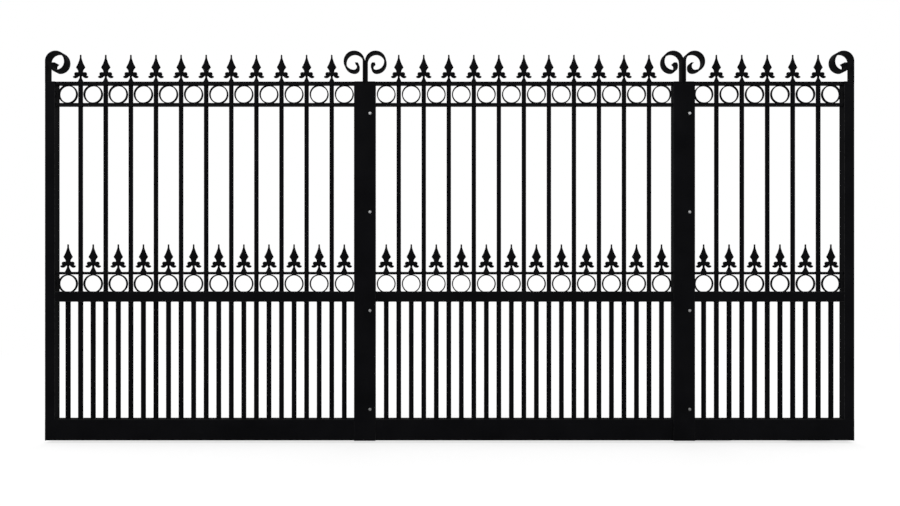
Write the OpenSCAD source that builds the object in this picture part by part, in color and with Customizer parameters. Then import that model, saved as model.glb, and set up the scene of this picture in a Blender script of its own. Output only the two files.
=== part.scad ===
// Sliding gate: a welded steel leaf in three bolted sections, on two roller carriages behind it.
// X runs along the leaf towards its tail, Y towards its back, and Z is up. Sizes are in millimetres.
// The origin is the middle of the underside of the front carriage's base plate.

/* [Sections] */
// Width of the left section, over its stiles
left_w = 1580; // [900:1:2400]
// Width of the middle section, over its stiles
middle_w = 1575; // [900:1:2400]
// Width of the tail section, which stays over the carriages
tail_w = 841; // [760:1:1600]
// Gap between neighbouring sections
section_gap = 2; // [1:0.5:4]

/* [Frame] */
// Height of the leaf's underside above the ground
ground_gap = 12; // [6:0.5:60]
// Depth of the stiles, the mid rail and the bottom channel
leaf_d = 50; // [46:1:80]
// Width of a stile
stile_w = 50; // [40:1:80]
// Wall of the stiles and of the mid rail
tube_wall = 3; // [2:0.5:5]
// Height of the stiles' tops above the leaf's underside
stile_top = 1762; // [1500:1:2200]
// Height of the bottom channel
channel_h = 105; // [100:1:140]
// Wall of the bottom channel
channel_wall = 4; // [3:0.5:5]
// Height of the slot at the back of the bottom channel
channel_slot = 48; // [44:1:56]
// Thickness of the plates that close the ends of the bottom channel
cap_t = 5; // [3:0.5:10]
// Height of the mid rail's underside above the leaf's underside
mid_rail_z = 686; // [500:1:900]
// Height of the mid rail's box section
mid_rail_h = 50; // [30:1:80]
// Depth of the flat rails and of the top rail
flat_d = 36; // [32:1:46]
// Thickness of the flat rails between the stiles
flat_t = 13; // [8:0.5:16]
// Thickness of the top rail
top_rail_t = 14; // [8:0.5:16]

/* [Bars and rings] */
// Diameter of the upper bars
bar_d = 22; // [14:0.5:24]
// Diameter of the lower bars
lower_bar_d = 24; // [16:0.5:26]
// Clearance around a bar in a flat rail
bar_fit = 0.3; // [0.2:0.1:0.6]
// How much wider the gap beside a stile is than the gap between two upper bars
end_gap_more = 2; // [0:0.5:6]
// Outer diameter of a ring
ring_od = 91; // [70:1:110]
// Thickness of a ring's band
ring_t = 5; // [3:0.5:8]
// Depth of a ring's band
ring_d = 14; // [8:1:26]
// Clearance over and under a ring
ring_fit = 0.3; // [0.1:0.1:0.6]
// Height by which a lower ring is cut off to stand on the mid rail
ring_cut = 6.5; // [5:0.5:12]
// Least gap beside a ring
ring_side_gap = 5; // [3:0.5:12]

/* [Finials] */
// Height of a finial
finial_h = 140; // [100:1:180]
// Width of a finial over its arms
finial_w = 74; // [50:1:84]
// Depth of a finial at its arms
finial_d = 14; // [10:0.5:20]
// Diameter of a finial's foot
finial_foot_d = 26; // [16:0.5:28]
// Diameter of a finial's waist
finial_waist_d = 7; // [5:0.5:9]

/* [Scrolls] */
// Thickness of a scroll's band
scroll_t = 9; // [6:0.5:10]
// Height of the straight stretch of a scroll
scroll_post = 99; // [70:1:140]
// Outer radius of the arch over a scroll
scroll_arch_r = 52; // [50:0.5:58]
// Outer radius of the scroll's second bend
scroll_second_r = 48.5; // [44:0.5:50]
// Outer radius of the scroll's third bend
scroll_third_r = 25.5; // [22:0.5:28]
// Outer radius of the scroll's last bend
scroll_last_r = 19; // [14:0.5:21]
// How far the scroll's last bend turns, in degrees
scroll_last_turn = 85; // [60:1:160]

/* [Joint plates] */
// Width of a joint plate
plate_w = 106; // [100:1:130]
// Thickness of a joint plate
plate_t = 6; // [4:0.5:8]
// Bolts in a joint plate
bolt_count = 4; // [2:1:6]
// Diameter of a joint bolt
bolt_d = 10; // [6:0.5:12]
// Clearance around a bolt in its hole
bolt_fit = 0.5; // [0.3:0.1:1]
// Diameter of a bolt's domed head
bolt_head_d = 17; // [15:0.5:22]
// Height of a bolt's domed head
bolt_head_h = 6; // [4:0.5:7]
// Height of the lowest bolt above the leaf's underside
bolt_low = 156; // [130:1:220]
// Distance of the highest bolt below the stiles' tops
bolt_drop = 146; // [60:1:220]

/* [Carriages] */
// Distance of the front carriage from the tail section's left edge
front_inset = 141; // [115:1:180]
// Distance of the rear carriage from the leaf's right end
rear_inset = 200; // [140:1:260]
// Length of a carriage's base plate
base_l = 220; // [200:1:240]
// Depth of a carriage's base plate
base_d = 120; // [110:1:180]
// Thickness of a carriage's base plate
base_t = 8; // [6:0.5:14]
// Gap between the leaf's back and the carriages
run_gap = 6; // [5:0.5:12]
// Spacing of the anchor holes along the leaf
anchor_x = 170; // [150:1:180]
// Spacing of the anchor holes across the leaf
anchor_y = 60; // [50:1:70]
// Diameter of an anchor hole
anchor_d = 13; // [10:0.5:16]
// Thickness of a carriage's upright
upright_t = 10; // [6:0.5:14]
// Length of a carriage's upright
upright_l = 180; // [160:1:200]
// Thickness of a carriage's gussets
gusset_t = 8; // [6:0.5:12]
// Depth of a gusset at its foot
gusset_d = 80; // [50:1:95]
// Spacing of a carriage's two gussets
gusset_pitch = 50; // [40:1:60]
// Diameter of a wheel
wheel_d = 88; // [76:1:89]
// Clearance on either side of a wheel in the channel
wheel_gap = 8; // [8:0.5:11]
// Clearance between a wheel and what holds it on its axle
wheel_fit = 0.3; // [0.2:0.1:0.5]
// Clearance between a wheel's top and the channel that it carries
wheel_seat = 0.3; // [0.2:0.1:0.5]
// Spacing of a carriage's two axles
axle_pitch = 110; // [100:1:130]
// Diameter of an axle
axle_d = 16; // [10:0.5:18]
// Clearance around an axle
axle_fit = 0.2; // [0.1:0.1:0.4]
// Diameter of an axle's head and of its collar
axle_collar_d = 26; // [22:0.5:30]
// Thickness of an axle's head
axle_head_t = 2; // [1:0.5:2.5]

/* [Hidden] */
$fn = 64;

// How far a cutting shape reaches past the face that it cuts
cut = 1;
LEFT = 0;
MIDDLE = 1;
TAIL = 2;
BLACK = "#17181a";
ZINC = "#a9adb0";
STEEL = "#8d9194";

// Places along the leaf
front_x = left_w + middle_w + 2 * section_gap + front_inset;
section_w = [left_w, middle_w, tail_w];
section_x = [
    -front_x,
    -front_x + left_w + section_gap,
    -front_x + left_w + middle_w + 2 * section_gap
];
leaf_end = section_x[TAIL] + tail_w;
rear_x = leaf_end - rear_inset;

// Heights above the ground
leaf_z = ground_gap;
channel_top = leaf_z + channel_h;
mid_bottom = leaf_z + mid_rail_z;
mid_top = mid_bottom + mid_rail_h;
ring_flat_z = mid_top + ring_od - ring_cut + ring_fit;
top_rail_z = leaf_z + stile_top;
top_rail_top = top_rail_z + top_rail_t;
upper_flat_z = top_rail_z - ring_od - 2 * ring_fit - flat_t;
lower_ring_z = ring_flat_z - ring_fit - ring_od / 2;
upper_ring_z = top_rail_z - ring_fit - ring_od / 2;
bolt_pitch = (stile_top - bolt_low - bolt_drop) / (bolt_count - 1);
wheel_z = channel_top - channel_wall - wheel_seat - wheel_d / 2;

// A bay is wide enough for a ring with its gaps and one bar
bay_least = ring_od + 2 * ring_side_gap + bar_d;

// Places across the leaf: it stands in front of the carriages' base plates
leaf_y = -(leaf_d / 2 + run_gap + base_d / 2);
front_face = leaf_y - leaf_d / 2;
back_face = leaf_y + leaf_d / 2;
upright_y = back_face + run_gap;
wheel_w = leaf_d - 2 * channel_wall - 2 * wheel_gap;
wheel_y = leaf_y - wheel_w / 2;

// Fasteners and the scroll's bends
nut_d = 2 * bolt_d - 1;
nut_h = 0.8 * bolt_d;
axle_nut_d = 1.8 * axle_d;
axle_nut_h = 0.7 * axle_d;
washer_t = 2;
bolt_end = 4;
bend_step = 10;
second_x = 2 * scroll_arch_r - scroll_second_r;
third_z = scroll_post - scroll_second_r + scroll_third_r;
last_x = second_x - scroll_third_r + scroll_last_r;

// Outline of a finial above its waist: shares of its half width and of its height
finial_outline = [
    [0.08, 0.17], [0.10, 0.20], [0.24, 0.24], [0.54, 0.205], [0.72, 0.165], [0.90, 0.16], [1.00, 0.18],
    [0.99, 0.23], [0.84, 0.255], [0.66, 0.26], [0.78, 0.30], [0.77, 0.34], [0.62, 0.365], [0.34, 0.355],
    [0.26, 0.385], [0.33, 0.465], [0.47, 0.515], [0.55, 0.555], [0.50, 0.61], [0.36, 0.67],
    [0.18, 0.80], [0.08, 0.88], [0.08, 0.98], [0.03, 1.00]
];
// Side view of the same stretch: shares of its half depth and of its height
finial_side = [
    [0.45, 0.17], [0.50, 0.20], [1.00, 0.26], [1.00, 0.34],
    [0.60, 0.39], [0.85, 0.555], [0.42, 0.88], [0.30, 1.00]
];

// Inner width of a section, its number of upper bars, and their pitch
function inner_w(s) = section_w[s] - 2 * stile_w;
function bars(s) = floor((inner_w(s) + bar_d) / bay_least) - 1;
function pitch(s) = (inner_w(s) + bar_d - 2 * end_gap_more) / (bars(s) + 1);
// Place of the step-th bar or, half a step on, of the middle of a bay
function bar_x(s, step) = section_x[s] + stile_w + end_gap_more + step * pitch(s) - bar_d / 2;
function joint_x(s) = section_x[s] + section_w[s] + section_gap / 2;
function bolt_x(s) = section_x[s + 1] + stile_w / 2;
function bolt_z(k) = leaf_z + bolt_low + k * bolt_pitch;
function backwards(points) = [for (k = [len(points) - 1 : -1 : 0]) points[k]];
function both_sides(half) = concat(half, [for (p = backwards(half)) [-p[0], p[1]]]);
function scaled(points, x, y) = [for (p = points) [p[0] * x, p[1] * y]];

// A box with its low X and low Z corner at x and z, and centred on the leaf's depth
module bar_box(x, z, w, d, h) {
    translate([x, leaf_y - d / 2, z]) cube([w, d, h]);
}

// A round piece along Y that starts at the given depth
module across(x, y, z, d, l) {
    translate([x, y, z]) rotate([-90, 0, 0]) cylinder(d = d, h = l);
}

module hex_nut(x, y, z, d, h) {
    translate([x, y, z]) rotate([-90, 0, 0]) cylinder(d = d, h = h, $fn = 6);
}

module bolt_holes(s) {
    reach = leaf_d + plate_t + 2 * cut;
    for (k = [0 : bolt_count - 1])
        across(bolt_x(s), front_face - plate_t - cut, bolt_z(k), bolt_d + 2 * bolt_fit, reach);
}

// A hole for an axle through a piece of the given thickness
module axle_hole(x, y, thickness) {
    across(x, y - cut, wheel_z, axle_d + 2 * axle_fit, thickness + 2 * cut);
}

// A lipped channel whose slot looks to the back
module bottom_channel(s) {
    start = section_x[s] + (s == LEFT ? cap_t : 0);
    end = section_x[s] + section_w[s] - (s == TAIL ? cap_t : 0);
    color(BLACK)
    difference() {
        bar_box(start, leaf_z, end - start, leaf_d, channel_h);
        bar_box(start - cut, leaf_z + channel_wall, end - start + 2 * cut,
                leaf_d - 2 * channel_wall, channel_h - 2 * channel_wall);
        translate([start - cut, back_face - channel_wall - cut, leaf_z + (channel_h - channel_slot) / 2])
            cube([end - start + 2 * cut, channel_wall + 2 * cut, channel_slot]);
    }
}

module end_caps() {
    color(BLACK) {
        bar_box(section_x[LEFT], leaf_z, cap_t, leaf_d, channel_h);
        bar_box(leaf_end - cap_t, leaf_z, cap_t, leaf_d, channel_h);
    }
}

// A box section that stands on the channel, closed at its top
module stile(x) {
    color(BLACK)
    difference() {
        bar_box(x, channel_top, stile_w, leaf_d, top_rail_z - channel_top);
        bar_box(x + tube_wall, channel_top - cut, stile_w - 2 * tube_wall,
                leaf_d - 2 * tube_wall, top_rail_z - channel_top - tube_wall + cut);
    }
}

module left_stile(s) {
    color(BLACK)
    difference() {
        stile(section_x[s]);
        if (s != LEFT) bolt_holes(s - 1);
    }
}

module right_stile(s) {
    stile(section_x[s] + section_w[s] - stile_w);
}

module mid_rail(s) {
    start = section_x[s] + stile_w;
    color(BLACK)
    difference() {
        bar_box(start, mid_bottom, inner_w(s), leaf_d, mid_rail_h);
        bar_box(start - cut, mid_bottom + tube_wall, inner_w(s) + 2 * cut,
                leaf_d - 2 * tube_wall, mid_rail_h - 2 * tube_wall);
    }
}

// The two flats between the stiles, with a hole for each upper bar
module flat_rails(s) {
    color(BLACK)
    for (z = [ring_flat_z, upper_flat_z])
        difference() {
            bar_box(section_x[s] + stile_w, z, inner_w(s), flat_d, flat_t);
            for (k = [1 : bars(s)])
                translate([bar_x(s, k), leaf_y, z - cut])
                    cylinder(d = bar_d + 2 * bar_fit, h = flat_t + 2 * cut);
        }
}

module top_rail(s) {
    color(BLACK) bar_box(section_x[s], top_rail_z, section_w[s], flat_d, top_rail_t);
}

module upper_bars(s) {
    color(BLACK)
    for (k = [1 : bars(s)])
        translate([bar_x(s, k), leaf_y, mid_top]) cylinder(d = bar_d, h = top_rail_z - mid_top);
}

// One bar under each upper bar and one under the middle of each bay
module lower_bars(s) {
    color(BLACK)
    for (k = [1 : 2 * bars(s) + 1])
        translate([bar_x(s, k / 2), leaf_y, channel_top])
            cylinder(d = lower_bar_d, h = mid_bottom - channel_top);
}

module ring(x, z) {
    difference() {
        across(x, leaf_y - ring_d / 2, z, ring_od, ring_d);
        across(x, leaf_y - ring_d / 2 - cut, z, ring_od - 2 * ring_t, ring_d + 2 * cut);
    }
}

// A ring in each bay under the top rail, and one that stands on the mid rail
module rings(s) {
    color(BLACK)
    for (k = [0 : bars(s)]) {
        ring(bar_x(s, k + 0.5), upper_ring_z);
        difference() {
            ring(bar_x(s, k + 0.5), lower_ring_z);
            bar_box(bar_x(s, k + 0.5) - ring_od / 2, mid_top - ring_od, ring_od, ring_d + 2 * cut, ring_od);
        }
    }
}

// A cast spearhead with two drooping arms, on a conical foot
module finial(x, z) {
    waist_z = finial_outline[1][1] * finial_h;
    translate([x, leaf_y, z]) {
        cylinder(d1 = finial_foot_d, d2 = finial_waist_d, h = waist_z);
        intersection() {
            rotate([90, 0, 0]) linear_extrude(height = finial_d, center = true)
                polygon(scaled(both_sides(finial_outline), finial_w / 2, finial_h));
            rotate([90, 0, 90]) linear_extrude(height = finial_w + 2 * cut, center = true)
                polygon(scaled(both_sides(finial_side), finial_d / 2, finial_h));
        }
    }
}

// A finial over each upper bar, and one on the lower flat rail in each bay
module finials(s) {
    color(BLACK) {
        for (k = [1 : bars(s)]) finial(bar_x(s, k), top_rail_top);
        for (k = [0 : bars(s)]) finial(bar_x(s, k + 0.5), ring_flat_z + flat_t);
    }
}

// Points on a bend of the scroll's band, after its start, as the band turns on to the right
function bend(x, z, r, from, turn) =
    [for (k = [1 : ceil(turn / bend_step)])
        let (a = from - turn * k / ceil(turn / bend_step)) [x + r * cos(a), z + r * sin(a)]];

// One edge of the band, inset from its outer edge: it rises, arches over and curls in
function scroll_edge(inset) = concat(
    [[inset, 0], [inset, scroll_post]],
    bend(scroll_arch_r, scroll_post, scroll_arch_r - inset, 180, 180),
    bend(second_x, scroll_post, scroll_second_r - inset, 0, 90),
    bend(second_x, third_z, scroll_third_r - inset, -90, 90),
    bend(last_x, third_z, scroll_last_r - inset, 180, scroll_last_turn)
);

module scroll() {
    translate([0, back_face, top_rail_top]) rotate([90, 0, 0]) linear_extrude(height = leaf_d)
        polygon(concat(scroll_edge(0), backwards(scroll_edge(scroll_t))));
}

module scrolls(s) {
    color(BLACK) {
        translate([section_x[s], 0, 0]) scroll();
        translate([section_x[s] + section_w[s], 0, 0]) mirror([1, 0, 0]) scroll();
    }
}

// A flat over the front of two neighbouring stiles, bolted to the right one
module joint_plate(s) {
    color(BLACK)
    difference() {
        translate([joint_x(s) - plate_w / 2, front_face - plate_t, leaf_z])
            cube([plate_w, plate_t, top_rail_z - leaf_z]);
        bolt_holes(s);
    }
}

// Domed head, shank, washer and nut, from the front to the back
module joint_bolt(x, z) {
    head_r = (pow(bolt_head_h, 2) + pow(bolt_head_d / 2, 2)) / (2 * bolt_head_h);
    translate([x, front_face - plate_t, z]) rotate([90, 0, 0])
        intersection() {
            translate([0, 0, bolt_head_h - head_r]) sphere(r = head_r);
            cylinder(d = bolt_head_d, h = bolt_head_h);
        }
    across(x, front_face - plate_t, z, bolt_d, leaf_d + plate_t + washer_t + nut_h + bolt_end);
    across(x, back_face, z, bolt_head_d + 2 * washer_t, washer_t);
    hex_nut(x, back_face + washer_t, z, nut_d, nut_h);
}

module joint_bolts(s) {
    color(ZINC)
    for (k = [0 : bolt_count - 1]) joint_bolt(bolt_x(s), bolt_z(k));
}

// A triangle that stiffens a carriage's upright from behind
module gusset(x) {
    rise = wheel_z - base_t;
    translate([x - gusset_t / 2, upright_y + upright_t, base_t]) rotate([90, 0, 90])
        linear_extrude(height = gusset_t) polygon([[0, 0], [gusset_d, 0], [gusset_t, rise], [0, rise]]);
}

// A base plate with four anchor holes, and an upright behind the channel's slot
module carriage(x) {
    color(ZINC)
    difference() {
        union() {
            translate([x - base_l / 2, -base_d / 2, 0]) cube([base_l, base_d, base_t]);
            translate([x - upright_l / 2, upright_y, base_t])
                cube([upright_l, upright_t, wheel_z + axle_collar_d / 2 - base_t]);
            for (side = [-1, 1]) gusset(x + side * gusset_pitch / 2);
        }
        for (side_x = [-1, 1], side_y = [-1, 1])
            translate([x + side_x * anchor_x / 2, side_y * anchor_y / 2, -cut])
                cylinder(d = anchor_d, h = base_t + 2 * cut);
        for (side = [-1, 1])
            axle_hole(x + side * axle_pitch / 2, upright_y, upright_t);
    }
}

// One wide wheel on each axle, inside the channel
module wheels(x) {
    color(STEEL)
    for (side = [-1, 1])
        difference() {
            across(x + side * axle_pitch / 2, wheel_y, wheel_z, wheel_d, wheel_w);
            axle_hole(x + side * axle_pitch / 2, wheel_y, wheel_w);
        }
}

// A stud with a head before the wheel, a collar from the wheel to the upright, and a nut behind it
module axle(x) {
    head_y = wheel_y - wheel_fit - axle_head_t;
    collar_y = wheel_y + wheel_w + wheel_fit;
    nut_y = upright_y + upright_t;
    across(x, head_y, wheel_z, axle_collar_d, axle_head_t);
    across(x, head_y, wheel_z, axle_d, nut_y + axle_nut_h + bolt_end - head_y);
    across(x, collar_y, wheel_z, axle_collar_d, upright_y - collar_y);
    hex_nut(x, nut_y, wheel_z, axle_nut_d, axle_nut_h);
}

module axles(x) {
    color(ZINC)
    for (side = [-1, 1]) axle(x + side * axle_pitch / 2);
}

bottom_channel(LEFT);  // left_bottom_channel
left_stile(LEFT);  // left_left_stile
right_stile(LEFT);  // left_right_stile
mid_rail(LEFT);  // left_mid_rail
flat_rails(LEFT);  // left_flat_rails
top_rail(LEFT);  // left_top_rail
upper_bars(LEFT);  // left_upper_bars
lower_bars(LEFT);  // left_lower_bars
rings(LEFT);  // left_rings
finials(LEFT);  // left_finials
scrolls(LEFT);  // left_scrolls
bottom_channel(MIDDLE);  // middle_bottom_channel
left_stile(MIDDLE);  // middle_left_stile
right_stile(MIDDLE);  // middle_right_stile
mid_rail(MIDDLE);  // middle_mid_rail
flat_rails(MIDDLE);  // middle_flat_rails
top_rail(MIDDLE);  // middle_top_rail
upper_bars(MIDDLE);  // middle_upper_bars
lower_bars(MIDDLE);  // middle_lower_bars
rings(MIDDLE);  // middle_rings
finials(MIDDLE);  // middle_finials
scrolls(MIDDLE);  // middle_scrolls
bottom_channel(TAIL);  // tail_bottom_channel
left_stile(TAIL);  // tail_left_stile
right_stile(TAIL);  // tail_right_stile
mid_rail(TAIL);  // tail_mid_rail
flat_rails(TAIL);  // tail_flat_rails
top_rail(TAIL);  // tail_top_rail
upper_bars(TAIL);  // tail_upper_bars
lower_bars(TAIL);  // tail_lower_bars
rings(TAIL);  // tail_rings
finials(TAIL);  // tail_finials
scrolls(TAIL);  // tail_scrolls
end_caps();  // channel_end_caps
joint_plate(LEFT);  // left_joint_plate
joint_plate(MIDDLE);  // tail_joint_plate
joint_bolts(LEFT);  // left_joint_bolts
joint_bolts(MIDDLE);  // tail_joint_bolts
carriage(0);  // front_carriage
wheels(0);  // front_wheels
axles(0);  // front_axles
carriage(rear_x);  // rear_carriage
wheels(rear_x);  // rear_wheels
axles(rear_x);  // rear_axles
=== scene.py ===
"""Looks of a black steel sliding gate: three bolted sections on two roller carriages.

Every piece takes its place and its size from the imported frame. Lengths are in metres.
"""
import math

import bmesh
import bpy
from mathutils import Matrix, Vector, noise

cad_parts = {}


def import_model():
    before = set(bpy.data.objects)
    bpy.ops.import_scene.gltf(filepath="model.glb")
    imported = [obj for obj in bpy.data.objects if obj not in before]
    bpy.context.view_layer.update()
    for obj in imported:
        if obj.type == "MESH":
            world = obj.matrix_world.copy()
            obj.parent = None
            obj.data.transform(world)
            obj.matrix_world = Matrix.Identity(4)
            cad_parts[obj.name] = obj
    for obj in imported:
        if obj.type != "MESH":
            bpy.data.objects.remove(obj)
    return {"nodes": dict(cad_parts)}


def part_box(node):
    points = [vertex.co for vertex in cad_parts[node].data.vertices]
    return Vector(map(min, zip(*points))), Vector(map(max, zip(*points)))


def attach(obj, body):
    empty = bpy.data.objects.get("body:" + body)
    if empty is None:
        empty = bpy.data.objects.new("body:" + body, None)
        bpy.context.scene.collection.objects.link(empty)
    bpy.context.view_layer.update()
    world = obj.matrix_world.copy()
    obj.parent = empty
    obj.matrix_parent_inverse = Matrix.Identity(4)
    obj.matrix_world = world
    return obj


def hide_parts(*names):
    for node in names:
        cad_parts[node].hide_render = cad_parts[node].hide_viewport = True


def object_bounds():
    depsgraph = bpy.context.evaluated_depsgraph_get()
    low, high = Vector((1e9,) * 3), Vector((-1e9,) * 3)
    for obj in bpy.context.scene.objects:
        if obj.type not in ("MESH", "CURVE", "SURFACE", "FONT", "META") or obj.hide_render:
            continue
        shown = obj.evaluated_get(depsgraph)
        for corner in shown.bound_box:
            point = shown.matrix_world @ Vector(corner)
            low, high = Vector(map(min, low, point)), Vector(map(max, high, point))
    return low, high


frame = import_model()
cad_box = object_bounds()

MM = 0.001
SECTIONS = ("left", "middle", "tail")
JOINTS = ("left", "tail")
CARRIAGES = ("front", "rear")
X_AXIS = 0
Z_AXIS = 2

# Points closer than this are one point, and edges that turn more than this are sharp
SAME_POINT = 1e-6
SHARP_TURN = math.radians(50)

# The camera: the photograph's frame in pixels, and where the camera stands in metres
PHOTO_W = 900
PHOTO_H = 506
FOCAL = 775.5
AXIS_X = 439.5
AXIS_Y = 271.0
CAMERA_AT = (-1.350, -3.947, 0.850)
SENSOR = 36
CLIP_END = 200

# Steel sections
TUBE_CORNER = 2.5 * MM
FLAT_CORNER = 1.5 * MM
END_EASE = 0.5 * MM
EASE_STEPS = 2
CHANNEL_WALL = 4 * MM
CHANNEL_BEND = 5 * MM
CHANNEL_SLOT = 48 * MM
CAP_STEP = 0.5 * MM
CORNER_STEPS = 3

# Rings
RING_BAND = 5.6 * MM
RING_PRESS = 1.2 * MM
RING_CORNER = 1 * MM
RING_STEPS = 72

# Scrolls: the outer radius of each bend along the bar, from the foot inwards
SCROLL_T = 10 * MM
SCROLL_CORNER = 1.6 * MM
SCROLL_POST = 99.6 * MM
ARCH_R = 52 * MM
SECOND_R = 50.5 * MM
THIRD_R = 25 * MM
LAST_R = 19 * MM
SIDE_DROP = 2 * MM
LAST_RISE = 7 * MM
LAST_TURN = 45
LEVEL_CUT = 0.5 * MM
BEND_STEP = 4

# Finials, as shares of their own height and half width:
# height, half width, half depth, and how round the section is (2 is an ellipse, 1 a diamond)
FINIAL_BODY = (
    (0.000, 0.405, 0.405, 2.0),
    (0.018, 0.380, 0.380, 2.0),
    (0.042, 0.325, 0.325, 2.0),
    (0.068, 0.282, 0.282, 2.0),
    (0.102, 0.232, 0.232, 2.0),
    (0.138, 0.172, 0.172, 2.0),
    (0.173, 0.142, 0.142, 2.0),
    (0.205, 0.155, 0.140, 2.0),
    (0.240, 0.225, 0.170, 2.0),
    (0.280, 0.300, 0.195, 2.0),
    (0.320, 0.320, 0.195, 2.0),
    (0.355, 0.335, 0.180, 2.0),
    (0.388, 0.340, 0.170, 1.9),
    (0.422, 0.368, 0.168, 1.7),
    (0.457, 0.440, 0.165, 1.5),
    (0.493, 0.545, 0.158, 1.4),
    (0.528, 0.635, 0.150, 1.3),
    (0.564, 0.575, 0.145, 1.3),
    (0.600, 0.502, 0.140, 1.3),
    (0.635, 0.428, 0.137, 1.3),
    (0.671, 0.362, 0.133, 1.3),
    (0.706, 0.312, 0.128, 1.3),
    (0.742, 0.264, 0.122, 1.3),
    (0.777, 0.220, 0.115, 1.4),
    (0.813, 0.174, 0.108, 1.6),
    (0.848, 0.134, 0.103, 1.8),
    (0.884, 0.110, 0.100, 2.0),
    (0.940, 0.110, 0.102, 2.0),
    (0.965, 0.102, 0.100, 2.0),
    (0.978, 0.055, 0.055, 2.0),
)
# The finial's arms, from its collar out:
# distance from the middle in half widths, height in heights, radius in half widths
FINIAL_LEAF = (
    (0.135, 0.286, 0.176),
    (0.297, 0.271, 0.195),
    (0.432, 0.243, 0.211),
    (0.554, 0.217, 0.222),
    (0.689, 0.199, 0.211),
    (0.838, 0.193, 0.173),
    (0.959, 0.196, 0.116),
    (1.035, 0.199, 0.054),
)
FINIAL_LOBE = (
    (0.135, 0.304, 0.203),
    (0.324, 0.302, 0.224),
    (0.486, 0.299, 0.249),
    (0.595, 0.296, 0.257),
    (0.716, 0.293, 0.230),
    (0.805, 0.290, 0.149),
    (0.854, 0.289, 0.041),
)
ARM_FLATNESS = 0.8
FINIAL_SIDES = 16
FINIAL_STEPS = 2
ARM_SIDES = 12
ARM_STEPS = 3

# Welds: beads, and the nuggets that hold rings, which narrow over turns in degrees
BEAD_R = 2.4 * MM
BEAD_STEP = 3 * MM
BEAD_LEAST = 3
BEAD_SIDES = 6
BEAD_RIPPLE = 0.13
BEAD_NOISE = 260
NUGGET_W = 22 * MM
NUGGET_D = 14 * MM
NUGGET_H = 4.5 * MM
NUGGET_SIDES = 16
NUGGET_TURNS = (0, 20, 40, 60, 78)

# Fasteners: a bolt's head is domed over turns in degrees
BOLT_D = 10 * MM
BOLT_CHAMFER = 1 * MM
BOLT_HEAD_D = 16 * MM
HEAD_RIM = 1 * MM
HEAD_TURNS = (0, 12, 24, 36, 48, 60, 72, 84)
NUT_FLAT = 16.5 * MM
NUT_H = 8 * MM
NUT_CHAMFER = 1.2 * MM
WASHER_D = 21 * MM
WASHER_T = 2 * MM
WASHER_EASE = 0.3 * MM
LATHE_STEPS = 48

# Wheels: the ends of hub, web and rim are shares of the wheel's radius
WHEEL_BORE = 8.2 * MM
HUB_END = 0.40
WEB_START = 0.44
WEB_END = 0.78
RIM_START = 0.84
WEB_DIP = 3 * MM
TREAD_EASE = 1.5 * MM

# Carriages
BASE_T = 8 * MM
UPRIGHT_T = 10 * MM
UPRIGHT_L = 180 * MM
GUSSET_T = 8 * MM
GUSSET_D = 80 * MM
GUSSET_PITCH = 50 * MM

# Colours, and how bright the darkest crystal in zinc is beside the brightest
PAINT_DARK = (0.0012, 0.0012, 0.0016)
PAINT_LIGHT = (0.0024, 0.0024, 0.0030)
# Thin paint along rounded edges: partly real wear, partly a painted edge highlight that outlines
# the edges
PAINT_THIN_AND_EDGE_LIGHT = (0.024, 0.0235, 0.0235)
# Dust on the faces that look up: partly real dust, partly painted top light that makes those faces
# lighter
DUST_AND_TOP_LIGHT = (0.022, 0.0212, 0.0203)
# Darkening towards the ground: painted shade on the bolts, dirt on the carriages
GRIME_AND_SHADE = (0.05, 0.047, 0.043)
STEEL_DARK = (0.30, 0.30, 0.31)
STEEL_LIGHT = (0.44, 0.44, 0.45)
CRYSTAL_SHADE = 0.78

# Materials: scales of noise in cycles per metre, and spans from a start to an end
NOISE_SPAN = (0.3, 0.7)
TONE_SCALE = 7
GLOSS_SCALE = 55
DUST_AND_TOP_LIGHT_SCALE = 38
DUST_AND_TOP_LIGHT_SPAN = (0.35, 0.7)
DUST_AND_TOP_LIGHT_TILT = (0.55, 1.0)
DUST_AND_TOP_LIGHT_MOST = 0.6
WEAR_AND_EDGE_LIGHT_SCALE = 60
WEAR_AND_EDGE_LIGHT_SPAN = (0.35, 0.65)
WEAR_AND_EDGE_LIGHT_TURN = (0.985, 0.85)
PAINT_COAT = 0.05
ZINC_GRAIN = 900
STEEL_TONE = 90
STEEL_GLOSS = 240
STEEL_GRAIN = 1500

# The studio: strengths of the world, the floor, and where the floor's own white grows
WORLD_LIGHT = 0.95
WORLD_SEEN = 1.0
FLOOR_COLOUR = (0.97, 0.97, 0.97)
FLOOR_DULL = 0.9
FLOOR_REACH = 40
WHITE_NEAR = 0.65
WHITE_SPAN = (3.0, 7.0)
# Each lamp's name, place, size in metres and power in watts
LAMPS = (
    ("key", (-4.5, -5.0, 5.5), 4, 160),
    ("fill", (4.0, -4.0, 5.0), 4, 90),
    ("rim", (-1.0, 5.0, 6.0), 5, 120),
)


def solids(node):
    """Lowest and highest corner of each separate solid in a CAD node, from left to right."""
    mesh = bmesh.new()
    mesh.from_mesh(frame["nodes"][node].data)
    bmesh.ops.remove_doubles(mesh, verts=mesh.verts, dist=SAME_POINT)
    unseen = set(mesh.verts)
    boxes = []
    while unseen:
        front = [unseen.pop()]
        group = []
        while front:
            vert = front.pop()
            group.append(vert.co.copy())
            for edge in vert.link_edges:
                other = edge.other_vert(vert)
                if other in unseen:
                    unseen.remove(other)
                    front.append(other)
        low = Vector([min(point[axis] for point in group) for axis in range(3)])
        high = Vector([max(point[axis] for point in group) for axis in range(3)])
        boxes.append((low, high))
    mesh.free()
    return sorted(boxes, key=lambda box: box[0].x)


# Mesh making


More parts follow.
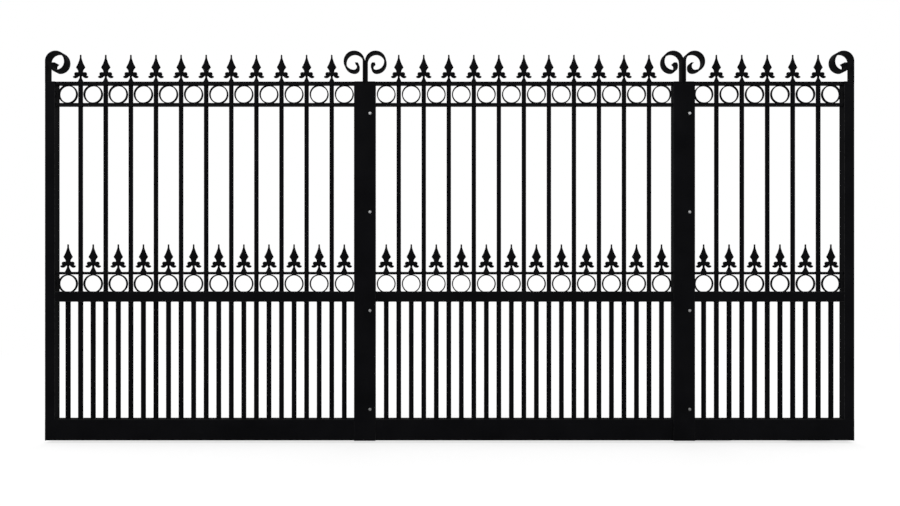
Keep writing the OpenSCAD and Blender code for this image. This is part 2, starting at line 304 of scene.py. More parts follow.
def add_skin(mesh, rings, loop=False):
    """Skins over rings of points. Both ends are closed, unless the rings run in a loop."""
    rows = [[mesh.verts.new(point) for point in ring] for ring in rings]
    pairs = list(zip(rows, rows[1:]))
    if loop:
        pairs.append((rows[-1], rows[0]))
    else:
        mesh.faces.new(reversed(rows[0]))
        mesh.faces.new(rows[-1])
    for row, after in pairs:
        for k in range(len(row)):
            mesh.faces.new((row[k - 1], row[k], after[k], after[k - 1]))


def rounded_outline(width, height, radius):
    """Outline of a rectangle with rounded corners, about its centre, as pairs."""
    outline = []
    for corner, (side, end) in enumerate(((1, 1), (-1, 1), (-1, -1), (1, -1))):
        for k in range(CORNER_STEPS + 1):
            angle = math.pi / 2 * (corner + k / CORNER_STEPS)
            across = side * (width / 2 - radius) + radius * math.cos(angle)
            along = end * (height / 2 - radius) + radius * math.sin(angle)
            outline.append((across, along))
    return outline


def add_bar(mesh, low, high, axis, radius):
    """A bar of rounded rectangular section along an axis, with its ends eased."""
    across, along = [k for k in range(3) if k != axis]
    middle = (low + high) / 2
    size = high - low
    rings = []
    for place, inset in (
        (low[axis], END_EASE),
        (low[axis] + END_EASE, 0),
        (high[axis] - END_EASE, 0),
        (high[axis], END_EASE),
    ):
        ring = []
        for a, b in rounded_outline(size[across] - 2 * inset, size[along] - 2 * inset, radius):
            point = middle.copy()
            point[axis] = place
            point[across] += a
            point[along] += b
            ring.append(point)
        rings.append(ring)
    add_skin(mesh, rings)


def add_band(mesh, path, outline, middle_y, loop=False):
    """Sweeps an outline along a path in the leaf's plane.

    The path's points are x, z, the outward angle and how many times as wide the outline is there.
    """
    rings = []
    for x, z, angle, wide in path:
        out_x = wide * math.cos(angle)
        out_z = wide * math.sin(angle)
        rings.append([(x + a * out_x, middle_y + b, z + a * out_z) for a, b in outline])
    add_skin(mesh, rings, loop)


def add_lathe(mesh, middle, profile, loop=False):
    """Turns a profile about an axis along Y through middle.

    The profile's points are a distance along Y, a radius, and 0 for a round ring or 1 for a hexagon
    with that radius to its flats.
    """
    rings = []
    for along, radius, hexagon in profile:
        ring = []
        for k in range(LATHE_STEPS):
            angle = 2 * math.pi * k / LATHE_STEPS
            reach = radius
            if hexagon:
                reach = radius / math.cos(angle % (math.pi / 3) - math.pi / 6)
            ring.append(middle + Vector((reach * math.cos(angle), along, reach * math.sin(angle))))
        rings.append(ring)
    add_skin(mesh, rings, loop)


def curve(points, steps):
    """A smooth curve through points of any number of values, with steps between neighbours."""
    ends = [points[0]] + list(points) + [points[-1]]
    smooth = []
    for before, start, end, after in zip(ends, ends[1:], ends[2:], ends[3:]):
        for k in range(steps):
            t = k / steps
            row = []
            for a, b, c, d in zip(before, start, end, after):
                bend = (2 * a - 5 * b + 4 * c - d) * t + (3 * b - a - 3 * c + d) * t * t
                row.append(b + t / 2 * (c - a + bend))
            smooth.append(row)
    smooth.append(list(points[-1]))
    return smooth


def add_bead(mesh, points, up, loop=False):
    """A rippled weld bead along points, as wide along up as across it."""
    count = len(points)
    rings = []
    for k, point in enumerate(points):
        before = points[k - 1] if loop or k else point
        after = points[(k + 1) % count] if loop or k < count - 1 else point
        side = (after - before).cross(up).normalized()
        ripple = (-1) ** k + noise.noise(point * BEAD_NOISE)
        radius = BEAD_R * (1 + BEAD_RIPPLE * ripple)
        if not loop and k in (0, count - 1):
            radius /= 2
        ring = []
        for j in range(BEAD_SIDES):
            angle = 2 * math.pi * j / BEAD_SIDES
            ring.append(point + radius * (math.cos(angle) * side + math.sin(angle) * up))
        rings.append(ring)
    add_skin(mesh, rings, loop)


def add_ring_bead(mesh, x, y, z, radius):
    """A weld bead around a round bar."""
    count = 2 * round(math.pi * radius / BEAD_STEP)
    points = []
    for k in range(count):
        angle = 2 * math.pi * k / count
        points.append(Vector((x + radius * math.cos(angle), y + radius * math.sin(angle), z)))
    add_bead(mesh, points, Vector((0, 0, 1)), loop=True)


def add_cross_bead(mesh, x, z, low_y, high_y):
    """A straight weld bead across the leaf's depth."""
    count = max(BEAD_LEAST, round((high_y - low_y) / BEAD_STEP))
    reach = high_y - low_y - 2 * BEAD_R
    points = [Vector((x, low_y + BEAD_R + reach * k / (count - 1), z)) for k in range(count)]
    add_bead(mesh, points, Vector((0, 0, 1)))


def add_nugget(mesh, x, y, z):
    """A half-round weld under a rail, where a ring meets it."""
    rings = []
    for turn in NUGGET_TURNS:
        tilt = math.radians(turn)
        drop = NUGGET_H * math.sin(tilt)
        ring = []
        for k in range(NUGGET_SIDES):
            angle = 2 * math.pi * k / NUGGET_SIDES
            across = NUGGET_W / 2 * math.cos(tilt) * math.cos(angle)
            along = NUGGET_D / 2 * math.cos(tilt) * math.sin(angle)
            ring.append((x + across, y + along, z - drop))
        rings.append(ring)
    add_skin(mesh, rings)


def keep_flat(obj):
    """Shades broad faces flat, and only the narrow faces along edges round."""
    normals = obj.modifiers.new("flat_faces", "WEIGHTED_NORMAL")
    normals.keep_sharp = True


def finish_piece(name, mesh, material, body="leaf", replaced=()):
    """Makes a piece of a mesh that rides on a body and stands for the CAD nodes in replaced."""
    bmesh.ops.recalc_face_normals(mesh, faces=mesh.faces)
    data = bpy.data.meshes.new(name)
    mesh.to_mesh(data)
    mesh.free()
    data.materials.append(material)
    for face in data.polygons:
        face.use_smooth = True
    data.set_sharp_from_angle(angle=SHARP_TURN)
    piece = bpy.data.objects.new(name, data)
    bpy.context.scene.collection.objects.link(piece)
    keep_flat(piece)
    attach(piece, body)
    if replaced:
        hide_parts(*replaced)


# Materials


def node_material(name):
    """A new material with its node tree and shader."""
    material = bpy.data.materials.new(name)
    material.use_nodes = True
    return material, material.node_tree, material.node_tree.nodes["Principled BSDF"]


def add_place(tree):
    """Each point's place in the object's own space."""
    return tree.nodes.new("ShaderNodeTexCoord").outputs["Object"]


def add_parts(tree, vector):
    """The parts of a vector, as outputs named X, Y and Z."""
    split = tree.nodes.new("ShaderNodeSeparateXYZ")
    tree.links.new(vector, split.inputs["Vector"])
    return split.outputs


def add_noise(tree, scale, detail):
    """Noise in the object's own space, in cycles per metre."""
    texture = tree.nodes.new("ShaderNodeTexNoise")
    texture.inputs["Scale"].default_value = scale
    texture.inputs["Detail"].default_value = detail
    tree.links.new(add_place(tree), texture.inputs["Vector"])
    return texture.outputs["Fac"]


def add_range(tree, value, start, end, low, high):
    """Spreads a value from start to end over low to high."""
    spread = tree.nodes.new("ShaderNodeMapRange")
    spread.inputs["From Min"].default_value = start
    spread.inputs["From Max"].default_value = end
    spread.inputs["To Min"].default_value = low
    spread.inputs["To Max"].default_value = high
    tree.links.new(value, spread.inputs["Value"])
    return spread.outputs["Result"]


def add_patches(tree, scale, detail, low, high, span=NOISE_SPAN):
    """Noise in patches, whose span is spread over low to high."""
    return add_range(tree, add_noise(tree, scale, detail), *span, low, high)


def add_math(tree, operation, first, second):
    """What an operation makes of two values, such as their product."""
    both = tree.nodes.new("ShaderNodeMath")
    both.operation = operation
    tree.links.new(first, both.inputs[0])
    tree.links.new(second, both.inputs[1])
    return both.outputs["Value"]


def add_mix(tree, share, first, second):
    """A colour mixed from two, each a colour or another node's output."""
    mix = tree.nodes.new("ShaderNodeMix")
    mix.data_type = "RGBA"
    tree.links.new(share, mix.inputs["Factor"])
    for socket, colour in ((mix.inputs[6], first), (mix.inputs[7], second)):
        if isinstance(colour, tuple):
            socket.default_value = (*colour, 1)
        else:
            tree.links.new(colour, socket)
    return mix.outputs[2]


def add_bump(tree, shader, height, depth, strength):
    """Bump on a shader from a height, with its depth in metres."""
    bump = tree.nodes.new("ShaderNodeBump")
    bump.inputs["Strength"].default_value = strength
    bump.inputs["Distance"].default_value = depth
    tree.links.new(height, bump.inputs["Height"])
    tree.links.new(bump.outputs["Normal"], shader.inputs["Normal"])


def add_dust_and_top_light(tree):
    """How much dust and painted top light lie on the faces that look up, from 0 to 1."""
    face = tree.nodes.new("ShaderNodeNewGeometry")
    parts = add_parts(tree, face.outputs["Normal"])
    level = add_range(tree, parts["Z"], *DUST_AND_TOP_LIGHT_TILT, 0.0, DUST_AND_TOP_LIGHT_MOST)
    patches = add_patches(tree, DUST_AND_TOP_LIGHT_SCALE, 5, 0.25, 1.0, DUST_AND_TOP_LIGHT_SPAN)
    return add_math(tree, "MULTIPLY", level, patches)


def add_wear_and_edge_light(tree):
    """How far the paint is lightened along rounded edges, in patches, from 0 to 1: thin paint from
    wear there, and a painted edge highlight.

    There a face looks along none of the three axes.
    """
    face = tree.nodes.new("ShaderNodeNewGeometry")
    sides = tree.nodes.new("ShaderNodeVectorMath")
    sides.operation = "ABSOLUTE"
    tree.links.new(face.outputs["Normal"], sides.inputs[0])
    parts = add_parts(tree, sides.outputs["Vector"])
    most = add_math(tree, "MAXIMUM", parts["X"], parts["Y"])
    most = add_math(tree, "MAXIMUM", most, parts["Z"])
    edge = add_range(tree, most, *WEAR_AND_EDGE_LIGHT_TURN, 0.0, 1.0)
    patches = add_patches(tree, WEAR_AND_EDGE_LIGHT_SCALE, 5, 0.15, 1.0, WEAR_AND_EDGE_LIGHT_SPAN)
    return add_math(tree, "MULTIPLY", edge, patches)


def paint(name, peel, depth, dull, worn_and_edge_lit=False):
    """Satin black paint with dust and painted top light on it, and, when its last flag is true,
    thin paint with a painted edge highlight along edges.

    Its bump is peel in cycles per metre and depth in metres, and dull is its roughness.
    """
    material, tree, shader = node_material(name)
    tone = add_patches(tree, TONE_SCALE, 4, 0.0, 1.0)
    black = add_mix(tree, tone, PAINT_DARK, PAINT_LIGHT)
    # Dust and painted top light lighten the faces that look up
    coat = add_mix(tree, add_dust_and_top_light(tree), black, DUST_AND_TOP_LIGHT)
    if worn_and_edge_lit:
        # Thin paint and a painted edge highlight along rounded edges
        coat = add_mix(tree, add_wear_and_edge_light(tree), coat, PAINT_THIN_AND_EDGE_LIGHT)
    tree.links.new(coat, shader.inputs["Base Color"])
    gloss = add_patches(tree, GLOSS_SCALE, 4, dull - 0.06, dull + 0.08)
    tree.links.new(gloss, shader.inputs["Roughness"])
    shader.inputs["Specular IOR Level"].default_value = 0
    shader.inputs["Coat Weight"].default_value = PAINT_COAT
    shader.inputs["Coat Roughness"].default_value = dull
    add_bump(tree, shader, add_noise(tree, peel, 2), depth, strength=0.25)
    return material


def add_grime_and_shade(tree, clean, height, most):
    """A colour that darkens from a height in metres down, by most at the ground: painted shade on
    the bolts, dirt on the carriages.
    """
    level = add_range(tree, add_parts(tree, add_place(tree))["Z"], 0, height, most, 0.0)
    return add_mix(tree, level, clean, GRIME_AND_SHADE)


def zinc(name, bright, spangle, dull, grime_and_shade):
    """Zinc coated steel, with crystals of a size given by how many there are in a metre.

    Its darkening towards the ground, painted shade on the bolts and dirt on the carriages, is a
    height in metres and the share at the ground.
    """
    material, tree, shader = node_material(name)
    crystals = tree.nodes.new("ShaderNodeTexVoronoi")
    crystals.inputs["Scale"].default_value = spangle
    tree.links.new(add_place(tree), crystals.inputs["Vector"])
    share = tree.nodes.new("ShaderNodeSeparateColor")
    tree.links.new(crystals.outputs["Color"], share.inputs["Color"])
    dark = tuple(CRYSTAL_SHADE * part for part in bright)
    clean = add_mix(tree, share.outputs["Red"], dark, bright)
    tree.links.new(add_grime_and_shade(tree, clean, *grime_and_shade), shader.inputs["Base Color"])
    shader.inputs["Metallic"].default_value = 1.0
    gloss = add_range(tree, share.outputs["Green"], 0.0, 1.0, dull - 0.07, dull + 0.07)
    tree.links.new(gloss, shader.inputs["Roughness"])
    add_bump(tree, shader, add_noise(tree, ZINC_GRAIN, 3), depth=0.1 * MM, strength=0.2)
    return material


def turned_steel(name):
    """Bare turned steel with a fine grain, stained in patches."""
    material, tree, shader = node_material(name)
    tone = add_patches(tree, STEEL_TONE, 5, 0.0, 1.0)
    colour = add_mix(tree, tone, STEEL_DARK, STEEL_LIGHT)
    tree.links.new(colour, shader.inputs["Base Color"])
    shader.inputs["Metallic"].default_value = 1.0
    gloss = add_patches(tree, STEEL_GLOSS, 3, 0.28, 0.46)
    tree.links.new(gloss, shader.inputs["Roughness"])
    add_bump(tree, shader, add_noise(tree, STEEL_GRAIN, 2), depth=0.05 * MM, strength=0.25)
    return material


BLACK = paint("satin_black_paint", peel=420, depth=0.10 * MM, dull=0.40)
EDGED = paint("worn_and_edge_lit_black_paint", peel=420, depth=0.10 * MM, dull=0.40, worn_and_edge_lit=True)
WELD = paint("painted_weld", peel=900, depth=0.2 * MM, dull=0.42)
CAST = paint("painted_casting", peel=380, depth=0.25 * MM, dull=0.46)
# The bolts darken towards the ground as painted shade, and the carriage plates darken near it with
# dirt
ZINC_BOLT = zinc("zinc_plate", (0.48, 0.485, 0.49), spangle=300, dull=0.44, grime_and_shade=(1.9, 0.75))
ZINC_PLATE = zinc("hot_dip_zinc", (0.56, 0.58, 0.60), spangle=130, dull=0.40, grime_and_shade=(0.09, 0.55))
STEEL = turned_steel("turned_steel")


# The leaf's steel


def add_stile_caps(mesh, section):
    """Plates as deep as the stiles where the top rail runs over them.

    They end a step inside the rail's ends and top.
    """
    rail_low, rail_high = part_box(f"{section}_top_rail")
    for part in ("left_stile", "right_stile"):
        low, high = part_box(f"{section}_{part}")
        start = Vector((max(low.x, rail_low.x + CAP_STEP), low.y, rail_low.z))
        end = Vector((min(high.x, rail_high.x - CAP_STEP), high.y, rail_high.z - CAP_STEP))
        add_bar(mesh, start, end, X_AXIS, FLAT_CORNER)


def bars_of(node, axis, corner):
    """A mesh with a rounded bar in place of each solid in a node."""
    mesh = bmesh.new()
    for low, high in solids(node):
        add_bar(mesh, low, high, axis, corner)
    return mesh


def tubes_and_flats(section):
    """The box sections and flat bars of a section, with rounded edges."""
    for part, axis, corner in (
        ("left_stile", Z_AXIS, TUBE_CORNER),
        ("right_stile", Z_AXIS, TUBE_CORNER),
        ("mid_rail", X_AXIS, TUBE_CORNER),
        ("flat_rails", X_AXIS, FLAT_CORNER),
        ("top_rail", X_AXIS, FLAT_CORNER),
    ):
        node = f"{section}_{part}"
        mesh = bars_of(node, axis, corner)
        if part == "top_rail":
            add_stile_caps(mesh, section)
        finish_piece(f"{node}_steel", mesh, EDGED, replaced=[node])


def channel(section):
    """The bottom channel: bent from sheet, with round corners and a slot along its back."""
    node = f"{section}_bottom_channel"
    low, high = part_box(node)
    middle_z = (low.z + high.z) / 2
    # Each corner's y and z, and the angle in degrees at which its bend starts
    corners = ((high.y, low.z, 0), (low.y, low.z, 270), (low.y, high.z, 180), (high.y, high.z, 90))
    outline = []
    for inset in (0, CHANNEL_WALL):
        edge = [(high.y - inset, middle_z - CHANNEL_SLOT / 2)]
        for y, z, start in corners:
            bend_y = y + (CHANNEL_BEND if y == low.y else -CHANNEL_BEND)
            bend_z = z + (CHANNEL_BEND if z == low.z else -CHANNEL_BEND)
            for k in range(2 * CORNER_STEPS + 1):
                angle = math.radians(start - 90 * k / (2 * CORNER_STEPS))
                reach = CHANNEL_BEND - inset
                edge.append((bend_y + reach * math.cos(angle), bend_z + reach * math.sin(angle)))
        edge.append((high.y - inset, middle_z + CHANNEL_SLOT / 2))
        outline += edge if not inset else reversed(edge)
    mesh = bmesh.new()
    add_skin(mesh, [[(x, y, z) for y, z in outline] for x in (low.x, high.x)])
    finish_piece(f"{node}_steel", mesh, BLACK, replaced=[node])


def plates():
    """The plates that close the channel's ends and those that join the sections."""
    for node in ("channel_end_caps", "left_joint_plate", "tail_joint_plate"):
        mesh = bars_of(node, Z_AXIS, FLAT_CORNER)
        finish_piece(f"{node}_steel", mesh, EDGED, replaced=[node])


# Ornament


def rings(section):
    """Rings of flat band with eased edges; the lower ones run down into the mid rail."""
    node = f"{section}_rings"
    mesh = bmesh.new()
    for low, high in solids(node):
        reach = (high.x - low.x) / 2 + RING_PRESS
        outline = rounded_outline(RING_BAND, high.y - low.y, RING_CORNER)
        middle_x = (low.x + high.x) / 2
        middle_z = high.z + RING_PRESS - reach
        whole = high.z - low.z > high.x - low.x - MM
        start = 0
        turn = 360
        count = RING_STEPS
        if not whole:
            dip = math.degrees(math.acos((middle_z - low.z) / (reach - RING_BAND)))
            start = dip - 90
            turn = 360 - 2 * dip
            count = RING_STEPS + 1
        radius = reach - RING_BAND / 2
        path = []
        for k in range(count):
            angle = math.radians(start + turn * k / RING_STEPS)
            x = middle_x + radius * math.cos(angle)
            z = middle_z + radius * math.sin(angle)
            path.append((x, z, angle, 1))
        add_band(mesh, path, outline, (low.y + high.y) / 2, loop=whole)
    finish_piece(f"{node}_bands", mesh, BLACK, replaced=[node])


def finial_section(middle, low_z, height, half, row):
    """One level of a finial's body as a ring of points."""
    level, width, depth, power = row
    ring = []
    for k in range(FINIAL_SIDES):
        angle = 2 * math.pi * k / FINIAL_SIDES
        across = math.copysign(abs(math.cos(angle)) ** (2 / power), math.cos(angle))
        along = math.copysign(abs(math.sin(angle)) ** (2 / power), math.sin(angle))
        x = middle.x + half * width * across
        ring.append((x, middle.y + half * depth * along, low_z + height * level))
    return ring


def add_arm(mesh, middle, low_z, height, half, shape, side):
    """One arm of a finial: a tapered leaf or lobe that grows out of its collar."""
    rows = curve(shape, ARM_STEPS)
    spine = [Vector((side * half * out, height * level)) for out, level, radius in rows]
    rings = []
    for k, (out, level, radius) in enumerate(rows):
        ahead = (spine[min(k + 1, len(spine) - 1)] - spine[max(k - 1, 0)]).normalized()
        across = Vector((-ahead.y, ahead.x))
        ring = []
        for j in range(ARM_SIDES):
            angle = 2 * math.pi * j / ARM_SIDES
            point = spine[k] + across * (radius * half * math.cos(angle))
            depth = ARM_FLATNESS * radius * half * math.sin(angle)
            ring.append((middle.x + point.x, middle.y + depth, low_z + point.y))
        rings.append(ring)
    add_skin(mesh, rings)


def finials(section):
    """Cast finials: a flared foot, a collar with two arms a side, and a spear blade."""
    node = f"{section}_finials"
    mesh = bmesh.new()
    body = curve(FINIAL_BODY, FINIAL_STEPS)
    for low, high in solids(node):
        middle = (low + high) / 2
        height = high.z - low.z
        half = (high.x - low.x) / 2
        add_skin(mesh, [finial_section(middle, low.z, height, half, row) for row in body])
        for side in (-1, 1):
            add_arm(mesh, middle, low.z, height, half, FINIAL_LEAF, side)
            add_arm(mesh, middle, low.z, height, half, FINIAL_LOBE, side)
    finish_piece(f"{node}_cast", mesh, CAST, replaced=[node])


def bend(middle_x, middle_z, radius, start, turn):
    """Points along a clockwise bend of the scroll bar's middle line, with the outward angle."""
    count = math.ceil(turn / BEND_STEP)
    points = []
    for k in range(1, count + 1):
        angle = math.radians(start - turn * k / count)
        x = middle_x + radius * math.cos(angle)
        z = middle_z + radius * math.sin(angle)
        points.append((x, z, angle, 1))
    return points


def scroll_path():
    """The middle line of a scroll whose post is on the left, from its foot to its inner end."""
    inset = SCROLL_T / 2
    second_x = 2 * ARCH_R - SECOND_R
    second_z = SCROLL_POST - SIDE_DROP
    third_z = second_z - SECOND_R + THIRD_R
    last_x = second_x - THIRD_R + LAST_R
    last_z = third_z + LAST_RISE
    path = [(inset, 0, math.pi, 1), (inset, SCROLL_POST, math.pi, 1)]
    path += bend(ARCH_R, SCROLL_POST, ARCH_R - inset, 180, 180)
    path.append((2 * ARCH_R - inset, second_z, 0, 1))
    path += bend(second_x, second_z, SECOND_R - inset, 0, 90)
    path += bend(second_x, third_z, THIRD_R - inset, -90, 90)
    path.append((last_x - LAST_R + inset, last_z, math.pi, 1))
    path += bend(last_x, last_z, LAST_R - inset, 180, LAST_TURN)
    # The inner end is cut level, so the band is wider there
    x, z = path[-1][:2]
    lean = math.radians(LAST_TURN)
    rise = inset * math.sin(lean) + LEVEL_CUT
    path.append((x + rise * math.tan(lean), z + rise, math.pi, 1 / math.cos(lean)))
    return path


def scrolls(section):
    """The pair of scrolls on a section: bent flat bar with eased edges."""
    node = f"{section}_scrolls"
    mesh = bmesh.new()
    path = scroll_path()
    for (low, high), side in zip(solids(node), (1, -1)):
        foot = low.x if side == 1 else high.x
        outline = rounded_outline(SCROLL_T, high.y - low.y, SCROLL_CORNER)
        placed = []
        for x, z, angle, wide in path:
            turned = angle if side == 1 else math.pi - angle
            placed.append((foot + side * x, low.z + z, turned, wide))
        add_band(mesh, placed, outline, (low.y + high.y) / 2)
    finish_piece(f"{node}_bands", mesh, BLACK, replaced=[node])


# Welds


def bar_welds(section):
    """Beads around the round bars where they meet rails and channel."""
    mesh = bmesh.new()
    lower_flat, upper_flat = sorted(solids(f"{section}_flat_rails"), key=lambda box: box[0].z)
    for bars, between in (("upper_bars", (lower_flat[1].z, upper_flat[0].z)), ("lower_bars", ())):
        for low, high in solids(f"{section}_{bars}"):
            x = (low.x + high.x) / 2
            y = (low.y + high.y) / 2
            radius = (high.x - low.x) / 2
            for z in (low.z, *between, high.z):
                add_ring_bead(mesh, x, y, z, radius)
    finish_piece(f"{section}_bar_welds", mesh, WELD)


def frame_welds(section):
    """Beads where stiles, rails, flats and scrolls meet, and where the rings touch the flats."""
    mesh = bmesh.new()
    rail_low, rail_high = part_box(f"{section}_mid_rail")
    channel_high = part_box(f"{section}_bottom_channel")[1].z
    seams = []
    for x in (rail_low.x, rail_high.x):
        seams += [(x, rail_low.z, rail_low, rail_high), (x, rail_high.z, rail_low, rail_high)]
        seams.append((x, channel_high, rail_low, rail_high))
    for low, high in solids(f"{section}_flat_rails"):
        for x in (low.x, high.x):
            seams += [(x, low.z, low, high), (x, high.z, low, high)]
    for (low, high), side in zip(solids(f"{section}_scrolls"), (1, -1)):
        foot = low.x if side == 1 else high.x
        seams.append((foot + side * SCROLL_T, low.z, *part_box(f"{section}_top_rail")))
    for x, z, low, high in seams:
        add_cross_bead(mesh, x, z, low.y, high.y)
    flat_low = min(low.z for low, high in solids(f"{section}_flat_rails"))
    for low, high in solids(f"{section}_rings"):
        if low.z < flat_low:
            add_nugget(mesh, (low.x + high.x) / 2, (low.y + high.y) / 2, flat_low)
    finish_piece(f"{section}_frame_welds", mesh, WELD)


# Fasteners and carriages


def joint_bolts(joint):
    """Bolts with a plain domed head, and a washer and a nut at the back."""
    node = f"{joint}_joint_bolts"
    face_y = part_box(f"{joint}_joint_plate")[0].y
    back_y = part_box(f"{joint}_left_stile")[1].y
    mesh = bmesh.new()
    for low, high in solids(node):
        middle = Vector(((low.x + high.x) / 2, 0, (low.z + high.z) / 2))
        head_h = face_y - low.y - HEAD_RIM
        head = [(face_y, BOLT_HEAD_D / 2, 0)]
        for turn in HEAD_TURNS:
            tilt = math.radians(turn)
            rise = HEAD_RIM + head_h * math.sin(tilt)
            head.append((face_y - rise, BOLT_HEAD_D / 2 * math.cos(tilt), 0))
        add_lathe(mesh, middle, head)
        nut_y = back_y + WASHER_T
        add_lathe(mesh, middle, [
            (back_y, WASHER_D / 2, 0),
            (nut_y - WASHER_EASE, WASHER_D / 2, 0),
            (nut_y, WASHER_D / 2 - WASHER_EASE, 0),
        ])
        add_lathe(mesh, middle, [
            (nut_y, NUT_FLAT / 2, 1),
            (nut_y + NUT_H - NUT_CHAMFER, NUT_FLAT / 2, 1),
            (nut_y + NUT_H, NUT_FLAT / 2, 0),
            (nut_y + NUT_H, BOLT_D / 2, 0),
            (high.y - BOLT_CHAMFER, BOLT_D / 2, 0),
            (high.y, BOLT_D / 2 - BOLT_CHAMFER, 0),
        ])
    finish_piece(f"{joint}_joint_bolts_zinc", mesh, ZINC_BOLT, replaced=[node])


def wheels(carriage):
    """Turned wheels with a hub, a hollowed web and an eased tread."""
    node = f"{carriage}_wheels"
    mesh = bmesh.new()
    for low, high in solids(node):
        middle = (low + high) / 2
        half = (high.y - low.y) / 2
        reach = (high.z - low.z) / 2
        face = [
            (half, WHEEL_BORE, 0),
            (half, HUB_END * reach, 0),
            (half - WEB_DIP, WEB_START * reach, 0),
            (half - WEB_DIP, WEB_END * reach, 0),
            (half, RIM_START * reach, 0),
            (half, reach - TREAD_EASE, 0),
            (half - TREAD_EASE, reach, 0),
        ]
        back = [(-along, radius, kind) for along, radius, kind in reversed(face)]
        add_lathe(mesh, middle, face + back, loop=True)
    finish_piece(f"{node}_turned", mesh, STEEL, "carriages", [node])


def add_foot_bead(mesh, start, end):
    """A bead along a foot on the base plate, from one point to another."""
    count = 2 * round((end - start).length / BEAD_STEP / 2)
    add_bead(mesh, [start.lerp(end, k / count) for k in range(count + 1)], Vector((0, 0, 1)))


def carriage_welds(carriage):
    """Beads along the feet of a carriage's upright and gussets."""
    low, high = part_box(f"{carriage}_carriage")
    middle_x = (low.x + high.x) / 2
    base_top = low.z + BASE_T
    back = low.y + UPRIGHT_T
    foot = Vector((middle_x, back, base_top))
    mesh = bmesh.new()
    inner = (GUSSET_PITCH - GUSSET_T) / 2
    outer = (GUSSET_PITCH + GUSSET_T) / 2
    for start, end in ((-UPRIGHT_L / 2, -outer), (-inner, inner), (outer, UPRIGHT_L / 2)):
        add_foot_bead(mesh, foot + Vector((start, 0, 0)), foot + Vector((end, 0, 0)))
    for side in (-1, 1):
        for face in (-1, 1):
            x = middle_x + side * GUSSET_PITCH / 2 + face * GUSSET_T / 2
            add_foot_bead(mesh, Vector((x, back, base_top)), Vector((x, back + GUSSET_D, base_top)))
    finish_piece(f"{carriage}_carriage_welds", mesh, ZINC_PLATE, "carriages")


def dress(node, material):
    """Gives a CAD node that keeps its shape its material and eased edges."""
    obj = frame["nodes"][node]
    for place in obj.material_slots:
        place.material = material
    joined = obj.modifiers.new("joined", "WELD")
    joined.merge_threshold = SAME_POINT
    eased = obj.modifiers.new("eased", "BEVEL")
    eased.width = END_EASE
    eased.segments = EASE_STEPS
    eased.limit_method = "ANGLE"
    eased.angle_limit = SHARP_TURN
    keep_flat(obj)


# The studio


def camera():
    """A level camera square to the leaf, shifted as the photograph's frame is."""
    data = bpy.data.cameras.new("camera")
    data.sensor_width = SENSOR
    data.lens = SENSOR * FOCAL / PHOTO_W
    data.shift_x = (PHOTO_W / 2 - AXIS_X) / PHOTO_W
    data.shift_y = (AXIS_Y - PHOTO_H / 2) / PHOTO_W
    data.clip_end = CLIP_END
    obj = bpy.data.objects.new("camera", data)
    obj.location = CAMERA_AT
    obj.rotation_euler = (math.pi / 2, 0, 0)
    bpy.context.scene.collection.objects.link(obj)
    bpy.context.scene.camera = obj


def background_rays(tree):
    """1 for rays that show the background: seen directly, mirrored or through glass."""
    path = tree.nodes.new("ShaderNodeLightPath")
    total = path.outputs["Is Camera Ray"]
    for ray in ("Is Glossy Ray", "Is Transmission Ray"):
        total = add_math(tree, "MAXIMUM", total, path.outputs[ray])
    return total


def world():
    """White where it is seen, and softer as a light."""
    sky = bpy.data.worlds.new("studio")
    bpy.context.scene.world = sky
    sky.use_nodes = True
    tree = sky.node_tree
    light = tree.nodes["Background"]
    light.inputs["Color"].default_value = (1, 1, 1, 1)
    level = add_range(tree, background_rays(tree), 0, 1, WORLD_LIGHT, WORLD_SEEN)
    tree.links.new(level, light.inputs["Strength"])


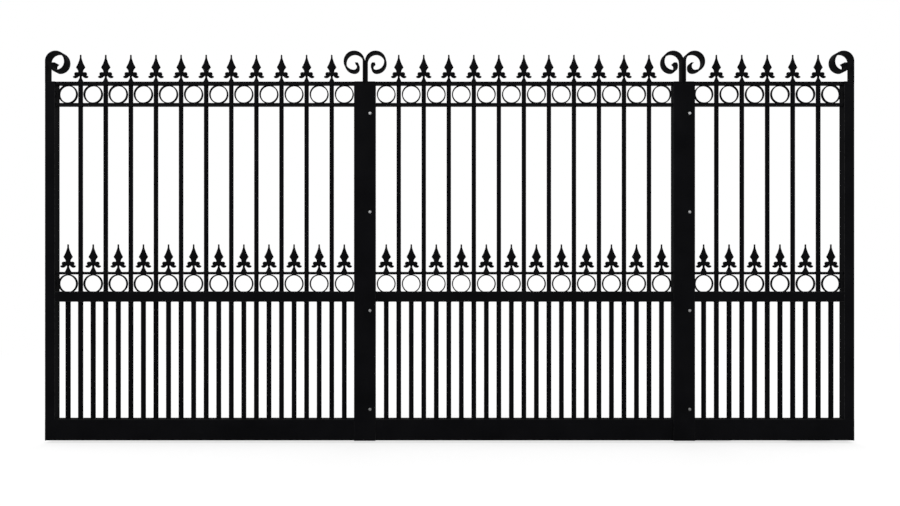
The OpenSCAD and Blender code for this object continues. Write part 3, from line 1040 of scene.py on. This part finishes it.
def floor():
    """A pale floor with a soft shadow under the leaf, as white as the backdrop far from it."""
    material, tree, shader = node_material("pale_floor")
    shader.inputs["Base Color"].default_value = (*FLOOR_COLOUR, 1)
    shader.inputs["Roughness"].default_value = FLOOR_DULL
    shader.inputs["Specular IOR Level"].default_value = 0
    glow = tree.nodes.new("ShaderNodeEmission")
    mix = tree.nodes.new("ShaderNodeMixShader")
    away = tree.nodes.new("ShaderNodeVectorMath")
    away.operation = "LENGTH"
    tree.links.new(add_place(tree), away.inputs[0])
    whiter = add_range(tree, away.outputs["Value"], *WHITE_SPAN, WHITE_NEAR, 1.0)
    tree.links.new(add_math(tree, "MULTIPLY", background_rays(tree), whiter), mix.inputs["Fac"])
    tree.links.new(shader.outputs["BSDF"], mix.inputs[1])
    tree.links.new(glow.outputs["Emission"], mix.inputs[2])
    tree.links.new(mix.outputs["Shader"], tree.nodes["Material Output"].inputs["Surface"])
    data = bpy.data.meshes.new("floor")
    sides = ((-1, -1), (1, -1), (1, 1), (-1, 1))
    corners = [(FLOOR_REACH * x, FLOOR_REACH * y, 0) for x, y in sides]
    data.from_pydata(corners, [], [(0, 1, 2, 3)])
    data.materials.append(material)
    obj = bpy.data.objects.new("floor", data)
    bpy.context.scene.collection.objects.link(obj)


def lamp(name, place, target, size, power):
    """A soft square lamp that looks at a point."""
    data = bpy.data.lights.new(name, "AREA")
    data.size = size
    data.energy = power
    obj = bpy.data.objects.new(name, data)
    obj.location = place
    obj.rotation_euler = (Vector(target) - Vector(place)).to_track_quat("-Z", "Y").to_euler()
    bpy.context.scene.collection.objects.link(obj)


for section in SECTIONS:
    tubes_and_flats(section)
    channel(section)
    rings(section)
    finials(section)
    scrolls(section)
    bar_welds(section)
    frame_welds(section)
    for bars in ("upper_bars", "lower_bars"):
        dress(f"{section}_{bars}", BLACK)
plates()
for joint in JOINTS:
    joint_bolts(joint)
for carriage in CARRIAGES:
    wheels(carriage)
    carriage_welds(carriage)
    dress(f"{carriage}_carriage", ZINC_PLATE)
    dress(f"{carriage}_axles", ZINC_BOLT)

leaf_middle = (cad_box[0] + cad_box[1]) / 2
camera()
world()
floor()
for name, place, size, power in LAMPS:
    lamp(name, place, leaf_middle, size, power)
bpy.context.scene.view_settings.view_transform = "Standard"
